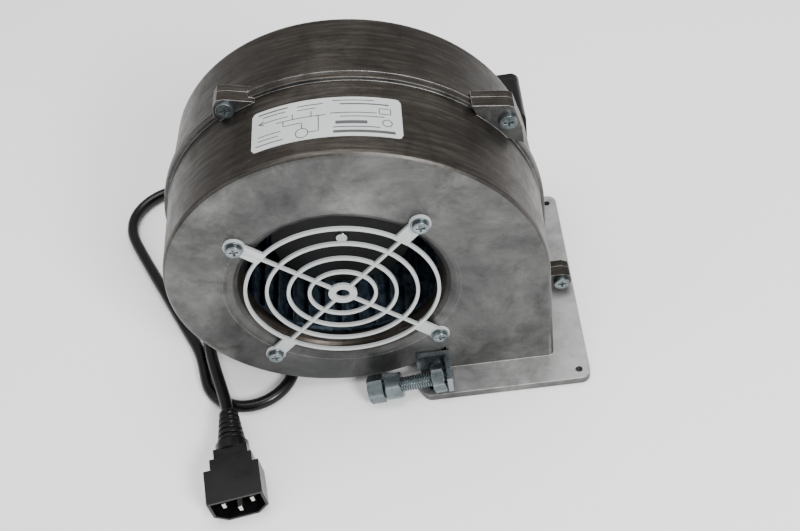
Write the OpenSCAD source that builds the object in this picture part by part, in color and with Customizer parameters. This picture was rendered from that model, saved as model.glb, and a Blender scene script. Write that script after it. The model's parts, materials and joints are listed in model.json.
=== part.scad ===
// Combustion fan: die-cast scroll casing in two halves, round finger guard over
// a bellmouth inlet, external-rotor motor with a forward-curved impeller, a
// square outlet flange with a counterweighted flap, a terminal box at the back
// and a mains cord that ends in an appliance plug.
// Millimetres. Origin at the middle of the outlet flange's mating face,
// Z up, the inlet faces -Y.

/* [Casing] */
// Height of the fan axis above the mating face
fan_height = 78; // [76:0.5:84]
// Distance of the fan axis left of the outlet centre
fan_offset = 71; // [70.5:0.1:71.5]
// Depth of the front half, from the seam to the inlet face
front_depth = 47; // [46:0.5:49]
// Depth of the rear half, from the seam to the back wall
rear_depth = 42; // [41.5:0.5:45]
// Wall thickness of the castings
wall = 3.5; // [3:0.1:4]
// Draft of the walls from the seam to the outer rim
draft = 1.2; // [0.5:0.1:2]
// Rounding of the outer rim
rim_round = 2.5; // [1.5:0.1:3.5]
// How far the two seam lips stand proud of the wall
lip_out = 2; // [1:0.1:2.4]
// Thickness of one seam lip
lip_thick = 3; // [2:0.1:4]

/* [Outlet flange] */
// Width of the flange
flange_x = 86; // [84:1:90]
// Length of the flange along the fan axis
flange_y = 126; // [124:1:130]
// Thickness of the flange
flange_thick = 4.5; // [4:0.1:4.6]
// Corner radius of the flange
flange_round = 5; // [3:0.5:6]
// Bolt spacing across the flange
bolt_x = 75; // [74:0.5:76]
// Bolt spacing along the flange
bolt_y = 115; // [114:0.5:116]
// Radius of the flange bolt holes
bolt_hole_r = 1.75; // [1.6:0.05:2.2]

/* [Inlet and guard] */
// Radius of the inlet throat
throat_r = 46; // [45:0.5:46.5]
// Radius of the rounded inlet edge
bell_round = 10; // [9:0.5:11]
// Half the spacing of the guard screws
guard_screw = 41.25; // [41:0.05:41.5]
// Thickness of the guard
guard_thick = 1.5; // [1.2:0.1:1.8]
// Width of the guard rings
ring_width = 1.6; // [1.4:0.1:2.4]

/* [Impeller and motor] */
// Outer radius of the impeller
impeller_r = 60; // [58:0.5:61]
// Inner radius of the blade ring
blade_inner_r = 50; // [49:0.5:51]
// Number of blades
blade_count = 36; // [30:1:40]
// Radius of the rotor shell
rotor_r = 34.5; // [34:0.1:35]

/* [Flap and counterweight] */
// Thickness of the flap plate
flap_thick = 0.8; // [0.6:0.1:0.8]
// Radius of the flap shaft
flap_shaft_r = 3; // [2.8:0.1:3]
// Across-flats size of the hexagons on the counterweight bolt
hex_af = 13; // [12.5:0.1:13]
// Slope of the counterweight bolt
bolt_slope = 6.5; // [5:0.5:7]

/* [Mains cord] */
// Diameter of the cord
cord_d = 6.5; // [6:0.1:6.5]

/* [Hidden] */
fx = -fan_offset;
fz = fan_height;
fy = -front_depth;
ry = rear_depth;
step = 3.6;
r_low = fan_height - 4.2 - lip_out;
r_left = r_low + 2 * step;
r_top = r_left + 2 * step;
r_right = 95;
right_drop = r_top + step - r_right;
centre_low = [-step, -step];
centre_left = [-step, step];
centre_top = [step, step];
centre_right = [step, right_drop];
duct_left = -28;
duct_right = fx + step + r_right;
hinge_x = -33;
hinge_z = 12.5;
chamber_y0 = -39.5;
ledge_z = hinge_z + flap_thick + 0.05;
slip = 0.05;
bolt_y0 = -58;
bolt_x0 = -29;
bolt_z0 = 13.5;
hex_r = hex_af / 2 / cos(30);
casing_screw_at = [[-106.8, 162.6], [14.3, 133.5], [-139.7, 28.5], [36.5, 12]];
lip_gap = 0.3;
ear_front = 6;
ear_rear = 4;
ear_outlines = [
  [[-113, 158], [-112, 164], [-109.5, 167.5], [-106, 167.5], [-94, 164], [-89, 158], [-101, 148]],
  [[-1, 144.5], [15, 142], [17.6, 140.4], [20.5, 128], [21, 118], [4, 128]],
  [[-143.2, 33.6], [-145, 29.4], [-143.8, 24.4], [-139.6, 22.8], [-135, 24.4], [-124, 36], [-132, 46]],
  [[26, 17.5], [38, 17.5], [41.2, 15.6], [42, 12], [41.2, 8.4], [38, 6.5], [26, 6.5]]];
ring_list = [15.5, 25.2, 35.2, 45.1];
plug_at = [-143, -62, 10.2];
plug_turn = 8.7;
cord_r = cord_d / 2;
route = [
  [-36, 58, 60], [-58, 58, 60], [-70, 59, 56.5], [-81, 62, 48.5],
  [-96, 68.5, 34], [-112, 76, 20], [-126, 83, 11], [-139, 89, 6],
  [-153, 96, 4], [-167, 103, 3.5], [-181, 109, 3.5], [-194, 108.6, 3.5],
  [-205.5, 101.5, 3.5], [-212, 90, 3.5], [-211.5, 77, 3.5], [-206, 64.5, 3.5],
  [-198, 49, 3.5], [-189, 32, 3.5], [-180, 15, 3.5], [-171, -2, 3.5],
  [-163, -17, 3.5], [-159.2, -31, 3.5], [-155.8, -43.5, 3.5], [-146.7, -52.6, 3.5],
  [-134.2, -56, 3.5], [-121.7, -52.6, 3.5], [-112.5, -43.5, 3.5], [-109, -31, 3.5],
  [-108.2, -20, 3.5], [-107.8, -9.5, 3.5], [-111, 3, 3.5], [-120, 12.2, 3.6],
  [-132.6, 15.5, 4], [-145, 12.2, 4.6], [-154.2, 3, 5.6], [-157.5, -9.5, 7.2],
  [-155, -23, 8.8], [-150.5, -38, 10], [-145.5, -53, 10.2], [-142.7, -64, 10.2]];
box_x = [-26, 27];
box_z = [33, 92];
lid_screw_x = [-21.8, 22.8];
lid_screw_z = [37.2, 87.8];
box_screw_z = [44, 84];
route_steps = 2;
cord_sides = 10;

// ---- shared shapes -------------------------------------------------------

// A round bar along Y
module y_bar(x, z, y0, y1, r) {
  translate([x, y1, z]) rotate([90, 0, 0]) cylinder(h = y1 - y0, r = r, $fn = 64);
}

// A six-sided bar along Y
module y_hex(x, z, y0, y1, r) {
  translate([x, y1, z]) rotate([90, 0, 0]) cylinder(h = y1 - y0, r = r, $fn = 6);
}

// Half outline of a wall: plain at the seam, drafted, rounded at the rim
function wall_outline(r, depth, lean, round) = concat(
  [[0, 0], [r, 0]],
  [for (a = [0:30:90]) [r - lean - round + round * cos(a), depth - round + round * sin(a)]],
  [[0, depth]]);

// One quarter of the scroll, turned about its own centre
module quarter(centre, start, r, depth, lean, round) {
  translate([centre[0], centre[1], 0])
    rotate([0, 0, start])
      rotate_extrude(angle = 90, $fn = 96)
        polygon(wall_outline(r, depth, lean, round));
}

// The four quarters of the scroll on the fan axis, growing toward -Y
module scroll(grow, depth, lean, round) {
  translate([fx, 0, fz]) rotate([90, 0, 0]) {
    quarter(centre_low, 270, r_low + grow, depth, lean, round);
    quarter(centre_left, 180, r_left + grow, depth, lean, round);
    quarter(centre_top, 90, r_top + grow, depth, lean, round);
    quarter(centre_right, 0, r_right + grow, depth, lean, round);
    translate([-step - 0.5, -step - 0.5, 0]) cube([2 * step + 1, 2 * step + 1, depth]);
  }
}

// The straight duct under the right side of the scroll
module duct(grow, depth, lean, round, z0) {
  x0 = duct_left - grow;
  x1 = duct_right + grow;
  translate([0, 0, z0])
    linear_extrude(height = fz + right_drop - z0)
      polygon(concat(
        [[x0, 0], [x0, -depth]],
        [for (a = [90:-30:0]) [x1 - lean - round + round * cos(a), -depth + round - round * sin(a)]],
        [[x1, 0]]));
}

module half_outside(depth) {
  scroll(0, depth, draft, rim_round);
  duct(0, depth, draft, rim_round, 1);
  translate([0, -lip_gap, 0]) {
    scroll(lip_out, lip_thick, 0.2, 0.4);
    duct(lip_out, lip_thick, 0.2, 0.4, 1);
  }
}

module half_inside(depth) {
  translate([0, 0.5, 0]) {
    scroll(-wall, depth - wall + 0.5, draft, 0.5);
    duct(-wall, depth - wall + 0.5, draft, 0.5, -1);
  }
}

// Front half of the flange plate, with rounded corners
module flange_half() {
  hx = flange_x / 2 - flange_round;
  hy = flange_y / 2 - flange_round;
  linear_extrude(height = flange_thick)
    polygon(concat(
      [[-hx - flange_round, 0]],
      [for (a = [180:15:270]) [-hx + flange_round * cos(a), -hy + flange_round * sin(a)]],
      [for (a = [270:15:360]) [hx + flange_round * cos(a), -hy + flange_round * sin(a)]],
      [[hx + flange_round, 0]]));
}

// The hinge gallery that carries the flap shaft, front half
module gallery_half(y0) {
  translate([-43, y0, 0]) cube([20, -y0, 17]);
}

// The free room in which the flap swings
module flap_room(y0) {
  translate([-38, y0, -1]) cube([62, -y0 + 1, hinge_z + 1]);
  translate([hinge_x, y0, -1]) cube([duct_right - wall - hinge_x, -y0 + 1, ledge_z + 1]);
  y_bar(hinge_x, hinge_z, y0, 1, 4.2);
}

// A frame inside the duct that the closed flap rests against, front half
module ledge_half(y0, y_open) {
  difference() {
    translate([-25, y0, ledge_z]) cube([duct_right - wall + 25.5, -y0, 2]);
    translate([-21.5, y_open, ledge_z - 1]) cube([43, -y_open + 1, 4]);
  }
}

// Flat lugs for the casing screws, each one outline seen from the front
module ears(depth) {
  for (outline = ear_outlines)
    rotate([90, 0, 0]) linear_extrude(height = depth) polygon(outline);
}

module ear_holes(y0, y1, r) {
  for (p = casing_screw_at) y_bar(p[0], p[1], y0, y1, r);
}

module flange_holes(y) {
  for (sx = [-1, 1])
    translate([sx * bolt_x / 2, y, -1]) cylinder(h = flange_thick + 2, r = bolt_hole_r, $fn = 48);
}

// The rounded inlet edge
module bellmouth() {
  z0 = front_depth - bell_round;
  c = throat_r + bell_round;
  translate([fx, 0, fz]) rotate([90, 0, 0])
    rotate_extrude($fn = 128)
      polygon(concat(
        [for (a = [90:15:180]) [c + bell_round * cos(a), z0 + bell_round * sin(a)]],
        [for (a = [180:-15:90]) [c + (bell_round - 3) * cos(a), z0 + (bell_round - 3) * sin(a)]]));
}

// ---- casing --------------------------------------------------------------

module front_casing() {
  color([0.62, 0.62, 0.61]) {
    difference() {
      union() {
        half_outside(front_depth);
        gallery_half(-43);
        flange_half();
        ears(ear_front);
        y_bar(hinge_x, hinge_z, -46.5, -40, 7);
      }
      half_inside(front_depth);
      flap_room(chamber_y0);
      y_bar(fx, fz, -front_depth - 1, -front_depth + 6, throat_r + bell_round - 0.5);
      y_bar(hinge_x, hinge_z, -48, -38, 5);
      for (sx = [-1, 1], sz = [-1, 1])
        y_bar(fx + sx * guard_screw, fz + sz * guard_screw, -front_depth - 1, -front_depth + 8, 1.95);
      ear_holes(-8, 1, 2.1);
      flange_holes(-bolt_y / 2);
    }
    bellmouth();
    for (sx = [-1, 1], sz = [-1, 1])
      guard_boss(fx + sx * guard_screw, fz + sz * guard_screw);
    ledge_half(-front_depth + wall - 0.5, -37);
  }
}

// Thread boss behind each guard screw, outside the inlet edge
module guard_boss(x, z) {
  difference() {
    y_bar(x, z, -front_depth + wall - 0.5, -front_depth + 9, 4);
    y_bar(x, z, -front_depth - 1, -front_depth + 8, 1.95);
  }
}

module rear_casing() {
  color([0.58, 0.58, 0.57]) {
    difference() {
      mirror([0, 1, 0]) union() {
        half_outside(rear_depth);
        gallery_half(-rear_depth);
        flange_half();
        ears(ear_rear);
      }
      mirror([0, 1, 0]) half_inside(rear_depth);
      mirror([0, 1, 0]) flap_room(-rear_depth + 4);
      y_bar(hinge_x, hinge_z, 36, 44, 5);
      for (a = [45:90:315])
        y_bar(fx + 36 * cos(a), fz + 36 * sin(a), 30, 44, 2.1);
      ear_holes(-1, 9, 1.95);
      mirror([0, 1, 0]) flange_holes(-bolt_y / 2);
      for (z = box_screw_z) y_bar(2, z, 30, 44, 1.95);
    }
    mirror([0, 1, 0]) ledge_half(-rear_depth + wall - 0.5, -35);
  }
}

module casing_screws() {
  color([0.78, 0.8, 0.82])
    for (p = casing_screw_at)
      difference() {
        union() {
          y_bar(p[0], p[1], -ear_front - 2.2, -ear_front, 4);
          y_bar(p[0], p[1], -6.5, ear_rear - 0.5, 1.9);
        }
        translate([p[0] - 2.2, -9, p[1] - 0.5]) cube([4.4, 2, 1]);
        translate([p[0] - 0.5, -9, p[1] - 2.2]) cube([1, 2, 4.4]);
      }
}

// ---- guard and label -----------------------------------------------------

module finger_guard() {
  y0 = -front_depth - guard_thick;
  y1 = -front_depth;
  color([0.84, 0.84, 0.82])
    difference() {
      union() {
        y_bar(fx, fz, y0, y1, 5.9 + ring_width / 2);
        for (r = ring_list)
          difference() {
            y_bar(fx, fz, y0, y1, r + ring_width / 2);
            y_bar(fx, fz, y0 - 1, y1 + 1, r - ring_width / 2);
          }
        for (a = [45, 135])
          translate([fx, y0, fz]) rotate([0, -a, 0])
            translate([-46, 0, -0.75]) cube([92, guard_thick, 1.5]);
        for (a = [45:90:315])
          translate([fx, y0, fz]) rotate([0, -a, 0]) {
            translate([44, 0, -3.6]) cube([14.3, guard_thick, 7.2]);
          }
        for (sx = [-1, 1], sz = [-1, 1])
          y_bar(fx + sx * guard_screw, fz + sz * guard_screw, y0, y1, 4.9);
      }
      y_bar(fx, fz, y0 - 1, y1 + 1, 3.3);
      for (sx = [-1, 1], sz = [-1, 1])
        y_bar(fx + sx * guard_screw, fz + sz * guard_screw, y0 - 1, y1 + 1, 2.2);
    }
}

module guard_washers() {
  y1 = -front_depth - guard_thick;
  color([0.8, 0.81, 0.83])
    for (sx = [-1, 1], sz = [-1, 1])
      difference() {
        y_bar(fx + sx * guard_screw, fz + sz * guard_screw, y1 - 0.6, y1, 4.4);
        y_bar(fx + sx * guard_screw, fz + sz * guard_screw, y1 - 2, y1 + 1, 2.1);
      }
}

module guard_screws() {
  y1 = -front_depth - guard_thick - 0.6;
  color([0.78, 0.8, 0.82])
    for (sx = [-1, 1], sz = [-1, 1])
      translate([fx + sx * guard_screw, 0, fz + sz * guard_screw])
        difference() {
          union() {
            y_bar(0, 0, y1 - 2, y1, 3.6);
            y_bar(0, 0, y1 - 1, y1 + 9, 1.9);
          }
          translate([-2, y1 - 3, -0.45]) cube([4, 2, 0.9]);
          translate([-0.45, y1 - 3, -2]) cube([0.9, 2, 4]);
        }
}

module rating_label() {
  color([0.92, 0.92, 0.88])
    difference() {
      intersection() {
        scroll(0.25, front_depth, draft, rim_round);
        translate([fx - 23, -front_depth + 10, fz + 60]) cube([63, 23, 50]);
      }
      scroll(0, front_depth, draft, rim_round);
    }
}

// ---- impeller and motor --------------------------------------------------

module impeller_backplate() {
  color([0.6, 0.66, 0.72])
    difference() {
      y_bar(fx, fz, 22, 23.2, impeller_r);
      y_bar(fx, fz, 21, 25, 33.2);
      for (a = [0:60:300]) y_bar(fx + 37 * cos(a), fz + 37 * sin(a), 21, 25, 1.55);
    }
}

module impeller_ring() {
  color([0.6, 0.66, 0.72])
    difference() {
      y_bar(fx, fz, -33, -31, impeller_r);
      y_bar(fx, fz, -34, -30, blade_inner_r);
    }
}

// One forward-curved blade: a thin bent strip from the inner to the outer edge
function blade_line(off) = [for (t = [0:0.25:1])
  let (r = blade_inner_r + 0.2 + t * (impeller_r - blade_inner_r - 0.6), a = 14 * t * t + 1.5 * t)
  [(r) * cos(a + off), (r) * sin(a + off)]];

module impeller_blades() {
  color([0.62, 0.68, 0.75])
    translate([fx, 22, fz]) rotate([90, 0, 0])
      for (i = [0:blade_count - 1])
        rotate([0, 0, i * 360 / blade_count])
          linear_extrude(height = 53)
            polygon(concat(blade_line(0), [for (k = [4:-1:0]) blade_line(0.85)[k]]));
}

module impeller_rivets() {
  color([0.75, 0.76, 0.78])
    for (a = [0:60:300]) {
      y_bar(fx + 37 * cos(a), fz + 37 * sin(a), 20, 23.8, 1.5);
      y_bar(fx + 37 * cos(a), fz + 37 * sin(a), 23.2, 24.4, 2.5);
      y_bar(fx + 37 * cos(a), fz + 37 * sin(a), 19, 20.4, 2.5);
    }
}

module rotor_shell() {
  color([0.05, 0.05, 0.05])
    difference() {
      union() {
        y_bar(fx, fz, -13, 22, rotor_r);
        y_bar(fx, fz, 20.4, 22, 40);
      }
      y_bar(fx, fz, -11, 23, rotor_r - 2);
      y_bar(fx, fz, -14, -10, 3.05);
      for (a = [0:60:300]) y_bar(fx + 37 * cos(a), fz + 37 * sin(a), 19, 25, 1.55);
    }
}

module motor_shaft() {
  color([0.7, 0.71, 0.73]) {
    y_bar(fx, fz, -14, 36, 3);
    y_bar(fx, fz, -11, -8.2, 6);
  }
}

module bearing(y0) {
  color([0.72, 0.73, 0.75])
    difference() {
      y_bar(fx, fz, y0, y0 + 6, 9.45);
      y_bar(fx, fz, y0 - 1, y0 + 7, 3.05);
    }
}

module front_bearing() {
  bearing(-8);
}

module rear_bearing() {
  bearing(28);
}

module stator_core() {
  color([0.35, 0.36, 0.38])
    difference() {
      y_bar(fx, fz, -1, 17, 31.5);
      y_bar(fx, fz, -2, 18, 12.05);
      for (a = [0:22.5:337.5])
        y_bar(fx + 25 * cos(a), fz + 25 * sin(a), -2, 18, 3.2);
    }
}

module stator_windings() {
  color([0.72, 0.4, 0.2]) {
    for (y = [-7.5, 17])
      difference() {
        y_bar(fx, fz, y, y + 6.5, 28.5);
        y_bar(fx, fz, y - 1, y + 8, 19);
      }
    for (a = [0:22.5:337.5])
      y_bar(fx + 25 * cos(a), fz + 25 * sin(a), -2, 18, 3.1);
  }
}

module motor_flange() {
  color([0.66, 0.67, 0.68])
    difference() {
      union() {
        y_bar(fx, fz, 34, 38.5, 44);
        y_bar(fx, fz, -8, 35, 12);
      }
      y_bar(fx, fz, -9, 40, 9.5);
      for (a = [45:90:315]) y_bar(fx + 36 * cos(a), fz + 36 * sin(a), 33, 42, 1.95);
    }
}

module motor_screws() {
  color([0.78, 0.8, 0.82])
    for (a = [45:90:315])
      translate([fx + 36 * cos(a), 0, fz + 36 * sin(a)])
        difference() {
          union() {
            y_bar(0, 0, rear_depth, rear_depth + 2.4, 4);
            y_bar(0, 0, rear_depth - 7.5, rear_depth + 0.5, 1.9);
          }
          translate([-2.2, rear_depth + 1, -0.5]) cube([4.4, 3, 1]);
          translate([-0.5, rear_depth + 1, -2.2]) cube([1, 3, 4.4]);
        }
}

// ---- flap and counterweight ----------------------------------------------

module flap_plate() {
  color([0.75, 0.76, 0.77])
    difference() {
      translate([hinge_x - 2.5, chamber_y0 + 0.8, hinge_z])
        cube([58.5, 76.1, flap_thick]);
      for (y = [-26, 0, 26])
        translate([hinge_x, y, hinge_z - 1]) cylinder(h = 4, r = 1.6, $fn = 32);
    }
}

module flap_shaft() {
  color([0.7, 0.71, 0.73])
    difference() {
      y_bar(hinge_x, hinge_z, -50, 41.5, flap_shaft_r);
      translate([hinge_x - 4, chamber_y0 + 0.6, hinge_z]) cube([8, 76.5, 5]);
      for (y = [-26, 0, 26])
        translate([hinge_x, y, hinge_z - 2.2]) cylinder(h = 4, r = 1.3, $fn = 32);
      y_bar(hinge_x, hinge_z, -51, -43, 1.5);
    }
}

module flap_screws() {
  color([0.78, 0.8, 0.82])
    for (y = [-26, 0, 26])
      translate([hinge_x, y, hinge_z]) {
        translate([0, 0, flap_thick]) cylinder(h = 1.5, r = 2.6, $fn = 32);
        translate([0, 0, -2]) cylinder(h = 3, r = 1.25, $fn = 32);
      }
}

module flap_bushes() {
  color([0.75, 0.6, 0.25]) {
    difference() {
      y_bar(hinge_x, hinge_z, -46.8, chamber_y0, 5);
      y_bar(hinge_x, hinge_z, -48, chamber_y0 + 1, flap_shaft_r + slip);
    }
    difference() {
      y_bar(hinge_x, hinge_z, 38, rear_depth, 5);
      y_bar(hinge_x, hinge_z, 37, rear_depth + 1, flap_shaft_r + slip);
    }
  }
}

module counterweight_lever() {
  color([0.76, 0.78, 0.8])
    difference() {
      union() {
        translate([-42, -50, 9.5]) cube([15.5, 2.5, 11.5]);
        translate([-44, -50, 11.5]) cube([3, 2.5, 7.5]);
        y_bar(-42, 11.5, -50, -47.5, 2);
        y_bar(-42, 19, -50, -47.5, 2);
        translate([-29, -65, 9.5]) cube([2.5, 16, 11.5]);
      }
      y_bar(hinge_x, hinge_z, -51, -47, flap_shaft_r + 0.02);
      on_bolt() translate([0, 0, -1]) cylinder(h = 8, r = 4.05, $fn = 48);
    }
}

module lever_screw() {
  color([0.78, 0.8, 0.82])
    difference() {
      union() {
        y_bar(hinge_x, hinge_z, -51.3, -50, 3.2);
        y_bar(hinge_x, hinge_z, -51, -44, 1.45);
      }
      translate([hinge_x - 2, -52, hinge_z - 0.4]) cube([4, 1.2, 0.8]);
      translate([hinge_x - 0.4, -52, hinge_z - 2]) cube([0.8, 1.2, 4]);
    }
}

// Axis of the counterweight bolt, zero at its right end
module on_bolt() {
  translate([bolt_x0 + 3, bolt_y0, bolt_z0])
    rotate([0, -90 - bolt_slope, 0]) children();
}

module counterweight_bolt() {
  color([0.74, 0.77, 0.8])
    on_bolt() {
      cylinder(h = 37, r = 4, $fn = 48);
      translate([0, 0, 36]) cylinder(h = 8, r = hex_r, $fn = 6);
    }
}

module counterweight_nut() {
  color([0.74, 0.77, 0.8])
    on_bolt() translate([0, 0, 26.8])
      difference() {
        rotate([0, 0, 24]) cylinder(h = 8, r = hex_r, $fn = 6);
        translate([0, 0, -1]) cylinder(h = 10, r = 4.05, $fn = 48);
      }
}

module bolt_lock_nut() {
  color([0.7, 0.66, 0.56])
    on_bolt() translate([0, 0, 4])
      difference() {
        cylinder(h = 6.5, r = hex_r, $fn = 6);
        translate([0, 0, -1]) cylinder(h = 9, r = 4.05, $fn = 48);
      }
}

// ---- terminal box --------------------------------------------------------

// A block between two depths with rounded corners, drawn in from the box's sides
module box_block(inset, round, y0, y1) {
  x0 = box_x[0] + inset + round;
  x1 = box_x[1] - inset - round;
  z0 = box_z[0] + inset + round;
  z1 = box_z[1] - inset - round;
  translate([0, y1, 0]) rotate([90, 0, 0]) linear_extrude(height = y1 - y0)
    polygon(concat(
      [for (a = [0:18:90]) [x1 + round * cos(a), z1 + round * sin(a)]],
      [for (a = [90:18:180]) [x0 + round * cos(a), z1 + round * sin(a)]],
      [for (a = [180:18:270]) [x0 + round * cos(a), z0 + round * sin(a)]],
      [for (a = [270:18:360]) [x1 + round * cos(a), z0 + round * sin(a)]]));
}

module terminal_box() {
  color([0.06, 0.06, 0.06])
    difference() {
      union() {
        difference() {
          box_block(0, 5, rear_depth, rear_depth + 27);
          box_block(2.5, 3, rear_depth + 2.5, rear_depth + 28);
        }
        for (x = lid_screw_x, z = lid_screw_z) y_bar(x, z, rear_depth + 2, rear_depth + 27, 3.2);
      }
      for (x = lid_screw_x, z = lid_screw_z) y_bar(x, z, rear_depth + 10, rear_depth + 28, 1.65);
      translate([-30, 58, 60]) rotate([0, 90, 0]) cylinder(h = 8, r = 6.1, $fn = 48);
      for (z = box_screw_z) y_bar(2, z, rear_depth - 1, rear_depth + 4, 2.1);
    }
}

module terminal_box_lid() {
  color([0.08, 0.08, 0.08])
    difference() {
      box_block(0, 5, rear_depth + 27, rear_depth + 31);
      difference() {
        box_block(2.5, 3, rear_depth + 26, rear_depth + 28.5);
        for (x = lid_screw_x, z = lid_screw_z) y_bar(x, z, rear_depth + 25, rear_depth + 30, 3.2);
      }
      for (x = lid_screw_x, z = lid_screw_z) y_bar(x, z, rear_depth + 25, rear_depth + 33, 1.7);
    }
}

module lid_screws() {
  color([0.78, 0.8, 0.82])
    for (x = lid_screw_x, z = lid_screw_z)
      translate([x, 0, z])
        difference() {
          union() {
            y_bar(0, 0, rear_depth + 31, rear_depth + 32.6, 2.8);
            y_bar(0, 0, rear_depth + 16, rear_depth + 31.5, 1.6);
          }
          translate([-1.6, rear_depth + 31.6, -0.4]) cube([3.2, 2, 0.8]);
          translate([-0.4, rear_depth + 31.6, -1.6]) cube([0.8, 2, 3.2]);
        }
}

module box_screws() {
  color([0.78, 0.8, 0.82])
    for (z = box_screw_z) {
      y_bar(2, z, rear_depth + 2.5, rear_depth + 4.7, 3.6);
      y_bar(2, z, rear_depth - 2.5, rear_depth + 3, 1.9);
    }
}

module capacitor() {
  color([0.85, 0.85, 0.83]) {
    translate([13, rear_depth + 2.5 + 10.5, 41]) cylinder(h = 39, r = 10.5, $fn = 64);
    translate([13, rear_depth + 2.5 + 10.5, 80]) cylinder(h = 3, r = 4, $fn = 48);
  }
}

module terminal_block() {
  color([0.9, 0.89, 0.84])
    difference() {
      translate([-14, rear_depth + 2.5, 50]) cube([12, 14, 30]);
      for (z = [55, 65, 75]) y_bar(-8, z, rear_depth + 12, rear_depth + 18, 2.4);
    }
}

module cord_gland() {
  color([0.07, 0.07, 0.07])
    difference() {
      union() {
        translate([-34, 58, 60]) rotate([0, 90, 0]) cylinder(h = 14, r = 6, $fn = 48);
        translate([-29.5, 58, 60]) rotate([0, 90, 0]) cylinder(h = 3.5, r = 9.5, $fn = 6);
        translate([-23.5, 58, 60]) rotate([0, 90, 0]) cylinder(h = 3.5, r = 8.5, $fn = 6);
      }
      translate([-60, 58, 60]) rotate([0, 90, 0]) cylinder(h = 60, r = cord_r + 0.05, $fn = 48);
    }
}

module gland_nut() {
  color([0.07, 0.07, 0.07])
    difference() {
      union() {
        translate([-37, 58, 60]) rotate([0, 90, 0]) cylinder(h = 7.5, r = 9, $fn = 6);
        translate([-58, 58, 60]) rotate([0, 90, 0]) cylinder(h = 21.5, r1 = 4.4, r2 = 6.5, $fn = 48);
      }
      translate([-34, 58, 60]) rotate([0, 90, 0]) cylinder(h = 6, r = 6.05, $fn = 48);
      translate([-60, 58, 60]) rotate([0, 90, 0]) cylinder(h = 40, r = cord_r + 0.3, $fn = 48);
    }
}

// ---- mains cord and plug -------------------------------------------------

function curve(a, b, c, d, t) = 0.5 * (2 * b + (c - a) * t
  + (2 * a - 5 * b + 4 * c - d) * t * t + (3 * b - a - 3 * c + d) * t * t * t);
function at_route(i) = route[max(0, min(len(route) - 1, i))];
path = concat([for (i = [0:len(route) - 2]) for (k = [0:route_steps - 1])
  curve(at_route(i - 1), at_route(i), at_route(i + 1), at_route(i + 2), k / route_steps)],
  [route[len(route) - 1]]);
function along(i) = path[min(len(path) - 1, i + 1)] - path[max(0, i - 1)];
function unit(v) = v / norm(v);
function aside(i) = unit(cross(along(i), [0, 0, 1]));
function above(i) = unit(cross(aside(i), along(i)));

module mains_cord() {
  n = cord_sides;
  m = len(path);
  points = [for (i = [0:m - 1]) for (k = [0:n - 1])
    path[i] + cord_r * (cos(360 * k / n) * aside(i) + sin(360 * k / n) * above(i))];
  walls = [for (i = [0:m - 2]) for (k = [0:n - 1])
    [i * n + k, i * n + (k + 1) % n, (i + 1) * n + (k + 1) % n, (i + 1) * n + k]];
  start_cap = [[for (k = [n - 1:-1:0]) k]];
  end_cap = [[for (k = [0:n - 1]) (m - 1) * n + k]];
  color([0.03, 0.03, 0.03]) polyhedron(points, concat(walls, start_cap, end_cap));
}

module at_plug() {
  translate(plug_at) rotate([0, 0, plug_turn]) rotate([90, 0, 0]) children();
}

module plug_strain_relief() {
  color([0.05, 0.05, 0.05]) at_plug()
    difference() {
      union() {
        cylinder(h = 20, r1 = 4.2, r2 = 5.6, $fn = 48);
        for (i = [0:5]) translate([0, 0, 1.2 + 3.1 * i]) cylinder(h = 1.9, r = 5 + 0.4 * i, $fn = 48);
      }
      translate([0, 0, -1]) cylinder(h = 10, r = cord_r + 0.3, $fn = 48);
    }
}

// A block with its two lower corners cut off, growing along the plug
module cut_block(w, h, cut, len) {
  linear_extrude(height = len)
    polygon([[-w / 2, -h / 2 + cut], [-w / 2 + cut, -h / 2], [w / 2 - cut, -h / 2],
      [w / 2, -h / 2 + cut], [w / 2, h / 2], [-w / 2, h / 2]]);
}

module plug_body() {
  color([0.04, 0.04, 0.04]) at_plug()
    difference() {
      union() {
        translate([0, 0, 20]) cylinder(h = 5, r = 8.4, $fn = 48);
        translate([0, 0, 24.5]) cut_block(17, 14, 3.5, 6.5);
        translate([0, 0, 30.5]) cut_block(21, 17, 4.5, 7);
        translate([0, 0, 37]) cut_block(27.2, 19.6, 6, 18);
      }
      translate([0, 0, 41]) cut_block(24.4, 16.6, 5, 15);
    }
}

module plug_pins() {
  color([0.8, 0.8, 0.78]) at_plug() {
    for (x = [-7, 7]) translate([x - 1, -1, 41]) cube([2, 4, 12]);
    translate([-1, -5.4, 41]) cube([2, 4, 13]);
  }
}

front_casing();
rear_casing();
casing_screws();
finger_guard();
guard_washers();
guard_screws();
rating_label();
impeller_backplate();
impeller_blades();
impeller_ring();
impeller_rivets();
rotor_shell();
motor_shaft();
front_bearing();
rear_bearing();
stator_core();
stator_windings();
motor_flange();
motor_screws();
flap_plate();
flap_shaft();
flap_screws();
flap_bushes();
counterweight_lever();
lever_screw();
counterweight_bolt();
counterweight_nut();
bolt_lock_nut();
terminal_box();
terminal_box_lid();
lid_screws();
box_screws();
capacitor();
terminal_block();
cord_gland();
gland_nut();
mains_cord();
plug_strain_relief();
plug_body();
plug_pins();
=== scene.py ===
import json
import math
import bpy
import bmesh
from mathutils import Matrix, Vector


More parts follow.
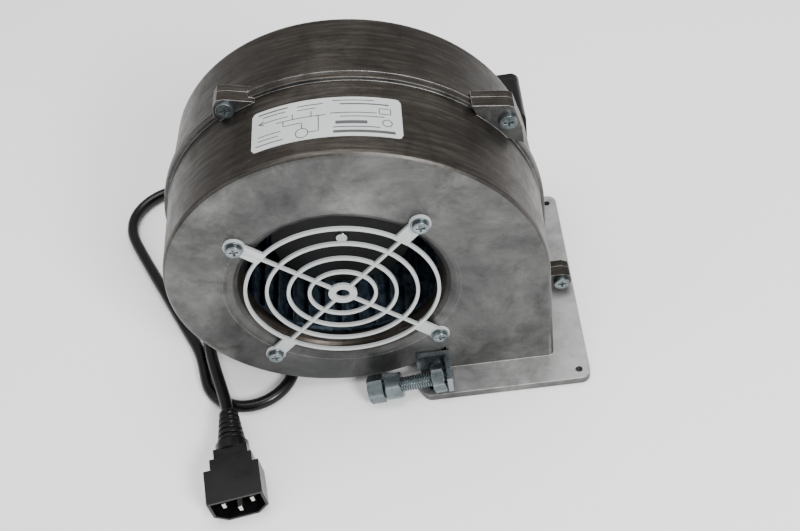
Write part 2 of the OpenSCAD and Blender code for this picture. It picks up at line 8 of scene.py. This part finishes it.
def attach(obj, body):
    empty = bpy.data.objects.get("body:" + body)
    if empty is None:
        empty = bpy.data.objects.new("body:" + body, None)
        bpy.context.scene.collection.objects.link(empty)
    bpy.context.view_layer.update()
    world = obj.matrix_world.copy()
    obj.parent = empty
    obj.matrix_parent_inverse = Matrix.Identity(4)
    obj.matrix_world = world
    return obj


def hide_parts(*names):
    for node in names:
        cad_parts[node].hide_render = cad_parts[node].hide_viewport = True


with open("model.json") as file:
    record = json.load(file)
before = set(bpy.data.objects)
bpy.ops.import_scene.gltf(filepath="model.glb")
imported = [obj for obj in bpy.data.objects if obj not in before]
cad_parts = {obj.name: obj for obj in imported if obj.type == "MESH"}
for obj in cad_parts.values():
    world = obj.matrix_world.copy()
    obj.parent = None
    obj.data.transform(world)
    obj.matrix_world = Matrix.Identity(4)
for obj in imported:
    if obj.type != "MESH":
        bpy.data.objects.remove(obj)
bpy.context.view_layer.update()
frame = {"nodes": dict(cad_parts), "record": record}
nodes = frame["nodes"]
record = frame["record"]
body_of_node = {n: b for b, ns in record["behaviour"]["bodies"].items() for n in ns}
slot_of_node = {s["node"]: s["material_slot"] for s in record["subparts"]}
MM = 0.001
EDGE_RADIUS = 0.0005  # how far the casting's edges look rounded, in metres
PLATE_TOP = 0.0048  # just above the flange plate, in metres


# ---------------------------------------------------------------- camera
right = Vector((0.990, -0.054, -0.133)).normalized()
fwd = Vector((-0.069, 0.636, -0.769)).normalized()
up = right.cross(fwd).normalized()
right = fwd.cross(up).normalized()
cam_data = bpy.data.cameras.new("Camera")
cam_data.lens = 46.4
cam_data.sensor_width = 36
cam_data.clip_start = 0.01
cam = bpy.data.objects.new("Camera", cam_data)
m = Matrix((right, up, -fwd)).transposed().to_4x4()
m.translation = Vector((-0.0098, -0.3454, 0.4524))
cam.matrix_world = m
bpy.context.scene.collection.objects.link(cam)
bpy.context.scene.camera = cam


# ---------------------------------------------------------------- materials
class Net:
    """A small helper that builds one procedural material."""

    def __init__(self, name, **sockets):
        self.mat = bpy.data.materials.new(name)
        self.mat.use_nodes = True
        self.t = self.mat.node_tree
        self.bsdf = next(n for n in self.t.nodes if n.type == "BSDF_PRINCIPLED")
        for k, v in sockets.items():
            self.bsdf.inputs[k.replace("_", " ")].default_value = v
        self.co = self.t.nodes.new("ShaderNodeTexCoord").outputs["Object"]

    def node(self, kind, **props):
        n = self.t.nodes.new("ShaderNode" + kind)
        for k, v in props.items():
            setattr(n, k, v)
        return n

    def link(self, a, b):
        self.t.links.new(a, b)

    def noise(self, scale, detail=4, rough=0.55, stretch=None, distort=0.0):
        n = self.node("TexNoise")
        n.inputs["Scale"].default_value = scale
        n.inputs["Detail"].default_value = detail
        n.inputs["Roughness"].default_value = rough
        n.inputs["Distortion"].default_value = distort
        src = self.co
        if stretch:
            mp = self.node("Mapping")
            mp.inputs["Scale"].default_value = stretch
            self.link(src, mp.inputs["Vector"])
            src = mp.outputs["Vector"]
        self.link(src, n.inputs["Vector"])
        return n.outputs["Fac"]

    def ramp(self, fac, stops):
        r = self.node("ValToRGB")
        e = r.color_ramp.elements
        while len(e) < len(stops):
            e.new(0.5)
        for el, (p, c) in zip(e, stops):
            el.position = p
            el.color = (*c, 1) if len(c) == 3 else c
        self.link(fac, r.inputs["Fac"])
        return r.outputs["Color"]

    def mix(self, fac, a, b, kind="MIX"):
        n = self.node("Mix", data_type="RGBA", blend_type=kind)
        for val, sock in ((fac, n.inputs[0]), (a, n.inputs[6]), (b, n.inputs[7])):
            if isinstance(val, (int, float)):
                sock.default_value = val if sock.type == "VALUE" else (val, val, val, 1)
            elif isinstance(val, tuple):
                sock.default_value = (*val, 1)
            else:
                self.link(val, sock)
        return n.outputs[2]

    def span(self, fac, lo, hi, a=0.0, b=1.0):
        n = self.node("MapRange")
        n.inputs["From Min"].default_value = a
        n.inputs["From Max"].default_value = b
        n.inputs["To Min"].default_value = lo
        n.inputs["To Max"].default_value = hi
        self.link(fac, n.inputs["Value"])
        return n.outputs["Result"]

    def math(self, op, a, b):
        n = self.node("Math", operation=op)
        for val, sock in ((a, n.inputs[0]), (b, n.inputs[1])):
            if isinstance(val, (int, float)):
                sock.default_value = val
            else:
                self.link(val, sock)
        return n.outputs[0]

    def bump(self, height, strength, dist, base=None):
        n = self.node("Bump")
        n.inputs["Strength"].default_value = strength
        n.inputs["Distance"].default_value = dist
        self.link(height, n.inputs["Height"])
        if base is not None:
            self.link(base, n.inputs["Normal"])
        return n.outputs["Normal"]

    def out(self, color, rough=None, normal=None):
        for val, key in ((color, "Base Color"), (rough, "Roughness"), (normal, "Normal")):
            if val is not None:
                self.link(val, self.bsdf.inputs[key])
        return self.mat


def cast_aluminium():
    """Mottled on the flat faces, turned streaks round the sides in a darker, browner tone that is painted
    shade, pale on the flange plate, pale rims that are partly edge wear and partly a painted highlight.
    """
    s = Net("cast_aluminium", Metallic=0.85)
    geo = s.node("NewGeometry")
    sep = s.node("SeparateXYZ")
    s.link(geo.outputs["True Normal"], sep.inputs[0])
    flat = s.span(s.math("ABSOLUTE", sep.outputs["Y"], 0), 0, 1, 0.6, 0.97)
    bev = s.node("Bevel", samples=6)
    bev.inputs["Radius"].default_value = EDGE_RADIUS
    dot = s.node("VectorMath", operation="DOT_PRODUCT")
    s.link(bev.outputs["Normal"], dot.inputs[0])
    s.link(geo.outputs["Normal"], dot.inputs[1])
    # Edge mask from the bevel normal: marks rims and lips for a pale colour that is partly edge wear and
    # partly a painted highlight.
    edge = s.span(dot.outputs["Value"], 1, 0, 0.8, 0.985)
    blotch = s.noise(14, 8, 0.68, distort=0.6)
    cloud = s.noise(75, 9, 0.74, distort=0.5)
    streak = s.noise(1, 9, 0.72, stretch=(42, 480, 42), distort=0.3)
    patch = s.noise(13, 7, 0.66, distort=0.5)
    face = s.ramp(blotch, [
        (0.33, (0.05, 0.052, 0.052)), (0.5, (0.115, 0.116, 0.114)), (0.68, (0.24, 0.24, 0.235))])
    speck = s.ramp(cloud, [(0.36, (0.42, 0.41, 0.40)), (0.5, (0.8, 0.8, 0.79)), (0.66, (1, 1, 1))])
    face = s.mix(0.75, face, speck, "MULTIPLY")
    # Sides: the same metal in a darker, browner tone than the face. The tone is painted shade; the turned
    # streaks and patches are real.
    side_with_painted_shade = s.ramp(streak, [
        (0.33, (0.036, 0.030, 0.025)), (0.5, (0.062, 0.055, 0.049)), (0.68, (0.115, 0.105, 0.096))])
    tone = s.ramp(patch, [(0.32, (0.45, 0.42, 0.38)), (0.68, (1.0, 0.99, 0.97))])
    side_with_painted_shade = s.mix(0.85, side_with_painted_shade, tone, "MULTIPLY")
    side_with_painted_shade = s.mix(0.5, side_with_painted_shade, speck, "MULTIPLY")
    # Blend by facing: flat faces take the face tone, sides the darker painted-shade tone.
    col = s.mix(flat, side_with_painted_shade, face)
    place = s.node("SeparateXYZ")
    s.link(s.co, place.inputs[0])
    near_base = s.span(place.outputs["Z"], 1, 0, PLATE_TOP, PLATE_TOP + 0.0008)
    low = s.math("MULTIPLY", near_base, s.span(sep.outputs["Z"], 0, 1, 0.7, 0.95))
    plate = s.ramp(cloud, [(0.3, (0.26, 0.262, 0.26)), (0.7, (0.46, 0.462, 0.455))])
    col = s.mix(low, col, plate)
    # Pale rims and lips: partly edge wear, partly a painted highlight.
    col = s.mix(s.math("MULTIPLY", edge, s.span(cloud, 0.15, 0.9, 0.35, 0.65)), col, (0.62, 0.61, 0.59))
    rough = s.span(cloud, 0.3, 0.55, 0.3, 0.7)
    grain = s.noise(1400, 3, 0.6)
    pits = s.noise(300, 6, 0.7)
    n = s.bump(pits, 0.3, 0.0004, bev.outputs["Normal"])
    n = s.bump(grain, 0.2, 0.00015, n)
    return s.out(col, rough, n)


def worked(name, base, metal, rough, var=0.12, scale=60, grain=900, strength=0.15, stretch=None, edge=None):
    """A plain finish: two close tones, fine grain, and paler edges where one is given, partly edge wear and
    partly a painted highlight.
    """
    s = Net(name, Metallic=metal)
    f = s.noise(scale, 5, 0.6)
    lo = tuple(c * (1 - var) for c in base)
    hi = tuple(min(1, c * (1 + var)) for c in base)
    col = s.ramp(f, [(0.3, lo), (0.7, hi)])
    if edge:
        # Paler edges by pointiness: partly edge wear, partly a painted highlight.
        geo = s.node("NewGeometry")
        e = s.span(geo.outputs["Pointiness"], 0, 0.6, 0.51, 0.6)
        col = s.mix(e, col, edge)
    g = s.noise(grain if not stretch else 1, 3, 0.6, stretch=stretch)
    return s.out(col, s.span(f, rough * 0.8, rough * 1.25, 0.25, 0.75), s.bump(g, strength, 0.0002))


def galvanised():
    s = Net("galvanised_sheet", Metallic=0.9)
    v = s.node("TexVoronoi")
    v.inputs["Scale"].default_value = 320
    s.link(s.co, v.inputs["Vector"])
    bw = s.node("RGBToBW")
    s.link(v.outputs["Color"], bw.inputs[0])
    col = s.ramp(bw.outputs[0], [(0.2, (0.10, 0.16, 0.22)), (0.8, (0.26, 0.36, 0.46))])
    return s.out(col, s.span(bw.outputs[0], 0.25, 0.45), s.bump(s.noise(500, 3), 0.08, 0.0002))


def moulded_black(name, level, rough, coat=0.0):
    s = Net(name, Coat_Weight=coat, Specular_IOR_Level=0.22)
    f = s.noise(70, 5, 0.6)
    col = s.ramp(f, [(0.3, (level * 0.7,) * 3), (0.75, (level * 1.5, level * 1.5, level * 1.55))])
    return s.out(col, s.span(f, rough * 0.8, rough * 1.3, 0.3, 0.7), s.bump(s.noise(1600, 2), 0.12, 0.0001))


MATS = {
    "cast_aluminium": cast_aluminium(),
    "sheet_aluminium": worked(
        "sheet_aluminium", (0.62, 0.63, 0.64), 0.9, 0.35, 0.1, 40, stretch=(30, 900, 30)),
    "zinc_steel": worked(
        "zinc_steel", (0.13, 0.155, 0.165), 0.92, 0.27, 0.3, 140, 1200, 0.1, edge=(0.34, 0.38, 0.40)),
    "ground_steel": worked("ground_steel", (0.6, 0.61, 0.63), 0.95, 0.24, 0.08, 200, stretch=(600, 20, 600)),
    "galvanised_sheet": galvanised(),
    "lamination_steel": worked(
        "lamination_steel", (0.25, 0.25, 0.27), 0.8, 0.45, 0.15, 90, stretch=(20, 1800, 20)),
    "guard_paint": worked(
        "guard_paint", (0.40, 0.42, 0.42), 0.0, 0.34, 0.05, 90, 700, 0.08, edge=(0.60, 0.61, 0.60)),
    "black_paint": moulded_black("black_paint", 0.006, 0.38),
    "copper": worked("copper", (0.62, 0.26, 0.11), 0.85, 0.35, 0.15, 300, stretch=(90, 900, 90)),
    "bush_brass": worked("bush_brass", (0.70, 0.52, 0.22), 0.95, 0.3, 0.1, 200, 900, 0.08),
    "label": worked("label", (0.42, 0.43, 0.43), 0.0, 0.42, 0.05, 60, 500, 0.04),
    "black_plastic": moulded_black("black_plastic", 0.004, 0.34),
    "pale_plastic": worked("pale_plastic", (0.74, 0.73, 0.68), 0.0, 0.45, 0.05, 60, 900, 0.06),
    "cord_pvc": moulded_black("cord_pvc", 0.0035, 0.3, 0.08),
    "pin_metal": worked("pin_metal", (0.78, 0.76, 0.70), 0.95, 0.22, 0.08, 300, 900, 0.06),
}
INK = worked("label_ink", (0.05, 0.05, 0.055), 0.0, 0.5, 0.2, 200, 900, 0.02)


def wear(obj, slot):
    obj.data.materials.clear()
    obj.data.materials.append(MATS[slot] if isinstance(slot, str) else slot)


def piece(name, mesh, body, slot, *stands_for, mat=None):
    o = bpy.data.objects.new(name, mesh)
    bpy.context.scene.collection.objects.link(o)
    wear(o, mat or slot)
    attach(o, body)
    if stands_for:
        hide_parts(*stands_for)
    return o


# ---------------------------------------------------------------- cord
ROUTE = [
    (-36, 58, 60), (-58, 58, 60), (-70, 59, 56.5), (-81, 62, 48.5),
    (-96, 68.5, 34), (-112, 76, 20), (-126, 83, 11), (-139, 89, 6),
    (-153, 96, 4), (-167, 103, 3.5), (-181, 109, 3.5), (-194, 108.6, 3.5),
    (-205.5, 101.5, 3.5), (-212, 90, 3.5), (-211.5, 77, 3.5), (-206, 64.5, 3.5),
    (-198, 49, 3.5), (-189, 32, 3.5), (-180, 15, 3.5), (-171, -2, 3.5),
    (-163, -17, 3.5), (-159.2, -31, 3.5), (-155.8, -43.5, 3.5), (-146.7, -52.6, 3.5),
    (-134.2, -56, 3.5), (-121.7, -52.6, 3.5), (-112.5, -43.5, 3.5), (-109, -31, 3.5),
    (-108.2, -20, 3.5), (-107.8, -9.5, 3.5), (-111, 3, 3.5), (-120, 12.2, 3.6),
    (-132.6, 15.5, 4), (-145, 12.2, 4.6), (-154.2, 3, 5.6), (-157.5, -9.5, 7.2),
    (-155, -23, 8.8), (-150.5, -38, 10), (-145.5, -53, 10.2), (-142.7, -64, 10.2)]
ROUTE = [Vector(p) * MM for p in ROUTE]


def spline(points, per):
    out = []
    for i in range(len(points) - 1):
        a, b = points[max(i - 1, 0)], points[i]
        c, d = points[i + 1], points[min(i + 2, len(points) - 1)]
        for k in range(per):
            t = k / per
            out.append(0.5 * (2 * b + (c - a) * t + (2 * a - 5 * b + 4 * c - d) * t * t
                              + (3 * b - a - 3 * c + d) * t ** 3))
    return out + [points[-1]]


line = spline(ROUTE, 5)
for _ in range(6):
    inner = [(line[i - 1] + 2 * line[i] + line[i + 1]) / 4 for i in range(1, len(line) - 1)]
    line = [line[0]] + inner + [line[-1]]
curve = bpy.data.curves.new("mains_cord_sheath", "CURVE")
curve.dimensions = "3D"
curve.bevel_depth = 3.25 * MM
curve.bevel_resolution = 6
curve.use_fill_caps = True
sp = curve.splines.new("POLY")
sp.points.add(len(line) - 1)
for p, v in zip(sp.points, line):
    p.co = (*v, 1)
cord = bpy.data.objects.new("mains_cord_sheath", curve)
bpy.context.scene.collection.objects.link(cord)
cord.data.materials.append(MATS["cord_pvc"])
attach(cord, "casing")
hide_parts("mains_cord")


# ---------------------------------------------------------------- mesh tools
def smooth(mesh, angle=35):
    for p in mesh.polygons:
        p.use_smooth = True
    bm = bmesh.new()
    bm.from_mesh(mesh)
    lim = math.radians(angle)
    for e in bm.edges:
        e.smooth = not (len(e.link_faces) == 2 and e.calc_face_angle(0) > lim)
    bm.to_mesh(mesh)
    bm.free()


def refined(node, width, segments=2, angle=30):
    """The CAD node's own shape with its sharp edges rounded."""
    mesh = nodes[node].data.copy()
    mesh.name = node + "_rounded"
    bm = bmesh.new()
    bm.from_mesh(mesh)
    bmesh.ops.remove_doubles(bm, verts=bm.verts, dist=2e-6)
    bmesh.ops.dissolve_limit(bm, angle_limit=math.radians(1.0), verts=bm.verts, edges=bm.edges)
    bm.to_mesh(mesh)
    bm.free()
    if mesh.attributes.get("custom_normal"):
        mesh.attributes.remove(mesh.attributes["custom_normal"])
    smooth(mesh, angle)
    o = piece(node + "_rounded", mesh, body_of_node[node], slot_of_node[node], node)
    if width:
        b = o.modifiers.new("edge", "BEVEL")
        b.width = width * MM
        b.segments = segments
        b.limit_method = "ANGLE"
        b.angle_limit = math.radians(angle)
        b.use_clamp_overlap = True
    w = o.modifiers.new("shade", "WEIGHTED_NORMAL")
    w.keep_sharp = True
    w.weight = 80
    return o


def grid_mesh(name, rings, closed=True, caps=(False, False)):
    """Rings of points, each the same length, skinned with quads."""
    n = len(rings[0])
    verts = [tuple(p) for r in rings for p in r]
    faces = []
    for i in range(len(rings) - 1):
        for k in range(n if closed else n - 1):
            a, b = i * n + k, i * n + (k + 1) % n
            faces.append((a, b, b + n, a + n))
    if caps[0]:
        faces.append(tuple(range(n - 1, -1, -1)))
    if caps[1]:
        base = (len(rings) - 1) * n
        faces.append(tuple(base + k for k in range(n)))
    mesh = bpy.data.meshes.new(name)
    mesh.from_pydata(verts, [], faces)
    bm = bmesh.new()
    bm.from_mesh(mesh)
    bmesh.ops.remove_doubles(bm, verts=bm.verts, dist=1e-7)
    bmesh.ops.recalc_face_normals(bm, faces=bm.faces)
    bm.to_mesh(mesh)
    bm.free()
    smooth(mesh)
    return mesh


def join(name, meshes):
    bm = bmesh.new()
    for m_ in meshes:
        bm.from_mesh(m_)
    out = bpy.data.meshes.new(name)
    bm.to_mesh(out)
    bm.free()
    smooth(out)
    return out


# Everything that keeps its CAD shape, with rounded edges
for n, w in {
    "finger_guard": 0.35, "guard_washers": 0.15,
    "rotor_shell": 0.8, "motor_shaft": 0.3, "flap_plate": 0.2, "counterweight_lever": 0.35,
    "terminal_box": 1.0, "terminal_box_lid": 0.8, "capacitor": 0.8, "terminal_block": 0.4,
    "cord_gland": 0.4, "gland_nut": 0.5, "casing_screws": 0.25, "guard_screws": 0.25,
    "lever_screw": 0.25, "lid_screws": 0.2, "motor_screws": 0.25, "box_screws": 0.3,
    "flap_screws": 0.25, "impeller_rivets": 0.3, "plug_pins": 0.3, "plug_body": 0.8,
    "plug_strain_relief": 0.4, "motor_flange": 0.3, "flap_bushes": 0.2,
}.items():
    refined(n, w)
for n, o in nodes.items():
    if n != "mains_cord":
        wear(o, slot_of_node[n])


# ---------------------------------------------------------------- counterweight
BOLT = Matrix.Translation(Vector((-26, -58, 13.5))) @ Matrix.Rotation(math.radians(-96.5), 4, "Y")
AF = 13.0


def circle(r, z, n=48, turn=0.0):
    return [Vector((r * math.cos(2 * math.pi * k / n + turn), r * math.sin(2 * math.pi * k / n + turn), z))
            for k in range(n)]


def hex_ring(z, limit, turn, n=48):
    """One ring of a hexagon whose corners are turned off at a radius."""
    out = []
    for k in range(n):
        a = 2 * math.pi * k / n
        r = AF / 2 / math.cos(math.radians(math.degrees(a) % 60 - 30))
        out.append(Vector((min(r, limit) * math.cos(a + turn), min(r, limit) * math.sin(a + turn), z)))
    return out


def nut_rings(z0, height, turn, bore=4.05, ends=(True, True)):
    top = AF / 2 / math.cos(math.radians(30))
    rings = [circle(bore, z0, turn=turn)] if bore else []
    steps = (0, 0.14, 0.28, 0.42, 0.56)
    for t in steps:
        rings.append(hex_ring(z0 + t, AF / 2 - 0.1 + t * 1.9 if ends[0] else top, turn))
    for t in reversed(steps):
        rings.append(hex_ring(z0 + height - t, AF / 2 - 0.1 + t * 1.9 if ends[1] else top, turn))
    if bore:
        rings += [circle(bore, z0 + height, turn=turn), circle(bore, z0, turn=turn)]
    return rings


def on_bolt(rings):
    return [[BOLT @ p * MM for p in r] for r in rings]


turn = math.radians(24)
def chamfered(name, node, z0, height, angle):
    mesh = grid_mesh(name, on_bolt(nut_rings(z0, height, angle)))
    piece(name, mesh, body_of_node[node], slot_of_node[node], node)


# Distances along the bolt, in mm, from its end at the lever
chamfered("counterweight_nut_chamfered", "counterweight_nut", 26.8, 8, turn)
chamfered("lock_nut_chamfered", "bolt_lock_nut", 4, 6.5, 0.0)
PITCH = 1.25
thread = [circle(2.9, 0.02, 24)]
for i in range(1, int(36.2 / (PITCH / 5))):
    z = i * PITCH / 5
    ring = []
    for k in range(24):
        phase = (z / PITCH - k / 24) % 1
        r = 3.98 - 0.62 * min(1, max(0, abs(2 * phase - 1) * 1.5 - 0.25)) - max(0, 0.9 - z) * 0.8
        ring.append(Vector((r * math.cos(2 * math.pi * k / 24), r * math.sin(2 * math.pi * k / 24), z)))
    thread.append(ring)
shank = grid_mesh("bolt_thread", on_bolt(thread), caps=(True, True))
head_rings = nut_rings(36, 7.95, 0.0, bore=0, ends=(False, True))
head = grid_mesh("bolt_head", on_bolt(head_rings), caps=(True, True))
piece("counterweight_bolt_threaded", join("counterweight_bolt_threaded", [shank, head]),
      body_of_node["counterweight_bolt"], slot_of_node["counterweight_bolt"], "counterweight_bolt")


# ---------------------------------------------------------------- rating label
def on_scroll(x, y, lift):
    """A point on the outside of the scroll, in metres, from label coordinates in mm."""
    u = x + 67.4
    r, cz = (86.2, 81.6) if u < 0 else (95.0, 72.8)
    r += 1.2 * y / 44.5
    a = math.asin(u / r)
    return Vector((-67.4 + (r + lift) * math.sin(a), y, cz + (r + lift) * math.cos(a))) * MM


LX0, LX1, LY0, LY1, LR = -94.0, -31.0, -37.0, -14.0, 2.0


def strip(points, width, lift=0.30, low=0.2):
    """A thin printed line on the label, following the curve of the scroll."""
    fine = []
    for a, b in zip(points, points[1:]):
        steps = max(1, int(math.dist(a, b) / 1.2))
        fine += [(a[0] + (b[0] - a[0]) * t / steps, a[1] + (b[1] - a[1]) * t / steps) for t in range(steps)]
    fine.append(points[-1])
    rings = []
    for i, p in enumerate(fine):
        a, b = fine[max(i - 1, 0)], fine[min(i + 1, len(fine) - 1)]
        d = math.dist(a, b) or 1.0
        nx, ny = -(b[1] - a[1]) / d * width / 2, (b[0] - a[0]) / d * width / 2
        rings.append([on_scroll(p[0] + nx, p[1] + ny, low), on_scroll(p[0] + nx, p[1] + ny, lift),
                      on_scroll(p[0] - nx, p[1] - ny, lift), on_scroll(p[0] - nx, p[1] - ny, low)])
    return grid_mesh("strip", rings, caps=(True, True))


cols = 64
xs = [LX0 + (LX1 - LX0) * i / cols for i in range(cols + 1)]
rings = []
for x in xs:
    cut = max(0.0, LR - min(x - LX0, LX1 - x))
    cut = LR - math.sqrt(max(0.0, LR * LR - cut * cut))
    lo, hi = LY0 + cut, LY1 - cut
    section = ((lo, 0.02), (lo, 0.24), (hi, 0.24), (hi, 0.02))
    rings.append([on_scroll(x, y, lift) for y, lift in section])
piece("rating_label_sheet", grid_mesh("rating_label_sheet", rings, caps=(True, True)), "casing",
      slot_of_node["rating_label"], "rating_label")
ink = []
for x0, x1, y, w in (
        (-59, -34, -34.3, 1.5), (-59, -40, -31.7, 0.5), (-58, -45, -29, 1.8), (-56, -38, -25.6, 0.45),
        (-60, -41, -23.4, 0.45), (-56, -36, -18.2, 0.7), (-59, -42, -16, 0.45),
        (-92, -80, -34.2, 0.5), (-91, -82, -31.6, 0.4), (-91, -81, -29.2, 0.4), (-74, -63, -17.2, 0.5),
        (-74, -66, -19.4, 0.4), (-91, -78, -16.2, 0.7), (-89, -79, -18.4, 0.5)):
    ink.append(strip([(x0, y), (x1, y)], w))
for ring in ([(-37 + 1.9 * math.cos(a / 24 * 2 * math.pi), -29 + 1.9 * math.sin(a / 24 * 2 * math.pi))
              for a in range(25)],
             [(-72 + 2.6 * math.cos(a / 24 * 2 * math.pi), -33 + 2.6 * math.sin(a / 24 * 2 * math.pi))
              for a in range(25)],
             [(-40, -23.8), (-35.4, -23.8), (-35.4, -20.6), (-40, -20.6), (-40, -23.8)],
             [(-72, -30.4), (-72, -27), (-80, -27), (-80, -24)], [(-69.4, -33), (-65, -33), (-65, -24)],
             [(-83, -24), (-62, -24)], [(-68, -24), (-68, -21)], [(-76, -24), (-76, -21)],
             [(-91, -21.6), (-78, -21.6)], [(-91, -21.6), (-88.6, -22.8)], [(-91, -21.6), (-88.6, -20.4)]):
    ink.append(strip(ring, 0.4))
piece("rating_label_lines", join("rating_label_lines", ink), "casing", slot_of_node["rating_label"], mat=INK)

# ---------------------------------------------------------------- stage
floor_mesh = bpy.data.meshes.new("floor")
FLOOR_HALF, FLOOR_Z = 4, -0.0004
corners = [(x * FLOOR_HALF, y * FLOOR_HALF, FLOOR_Z) for x, y in ((-1, -1), (1, -1), (1, 1), (-1, 1))]
floor_mesh.from_pydata(corners, [], [(0, 1, 2, 3)])
floor = bpy.data.objects.new("floor", floor_mesh)
bpy.context.scene.collection.objects.link(floor)
fm = Net("floor", Roughness=0.9)
floor_tone = fm.ramp(fm.noise(3), [(0.3, (0.93, 0.93, 0.93)), (0.7, (0.95, 0.95, 0.95))])
floor.data.materials.append(fm.out(floor_tone))


def area(name, loc, target, size, power, color=(1, 1, 1)):
    d = bpy.data.lights.new(name, "AREA")
    d.energy = power
    d.size = size
    d.color = color
    o = bpy.data.objects.new(name, d)
    o.location = loc
    o.rotation_euler = (Vector(target) - Vector(loc)).to_track_quat("-Z", "Y").to_euler()
    bpy.context.scene.collection.objects.link(o)


area("key", (0.5, -0.85, 0.85), (-0.04, 0, 0.06), 0.32, 17)
area("fill", (-0.9, -0.3, 0.9), (-0.06, 0, 0.06), 0.7, 2)
area("top", (0.0, 0.1, 1.4), (-0.06, 0, 0.08), 1.0, 19)
world = bpy.data.worlds.new("World")
bpy.context.scene.world = world
world.use_nodes = True
bg = next(n for n in world.node_tree.nodes if n.type == "BACKGROUND")
bg.inputs["Color"].default_value = (1, 1, 1, 1)
bg.inputs["Strength"].default_value = 0.6
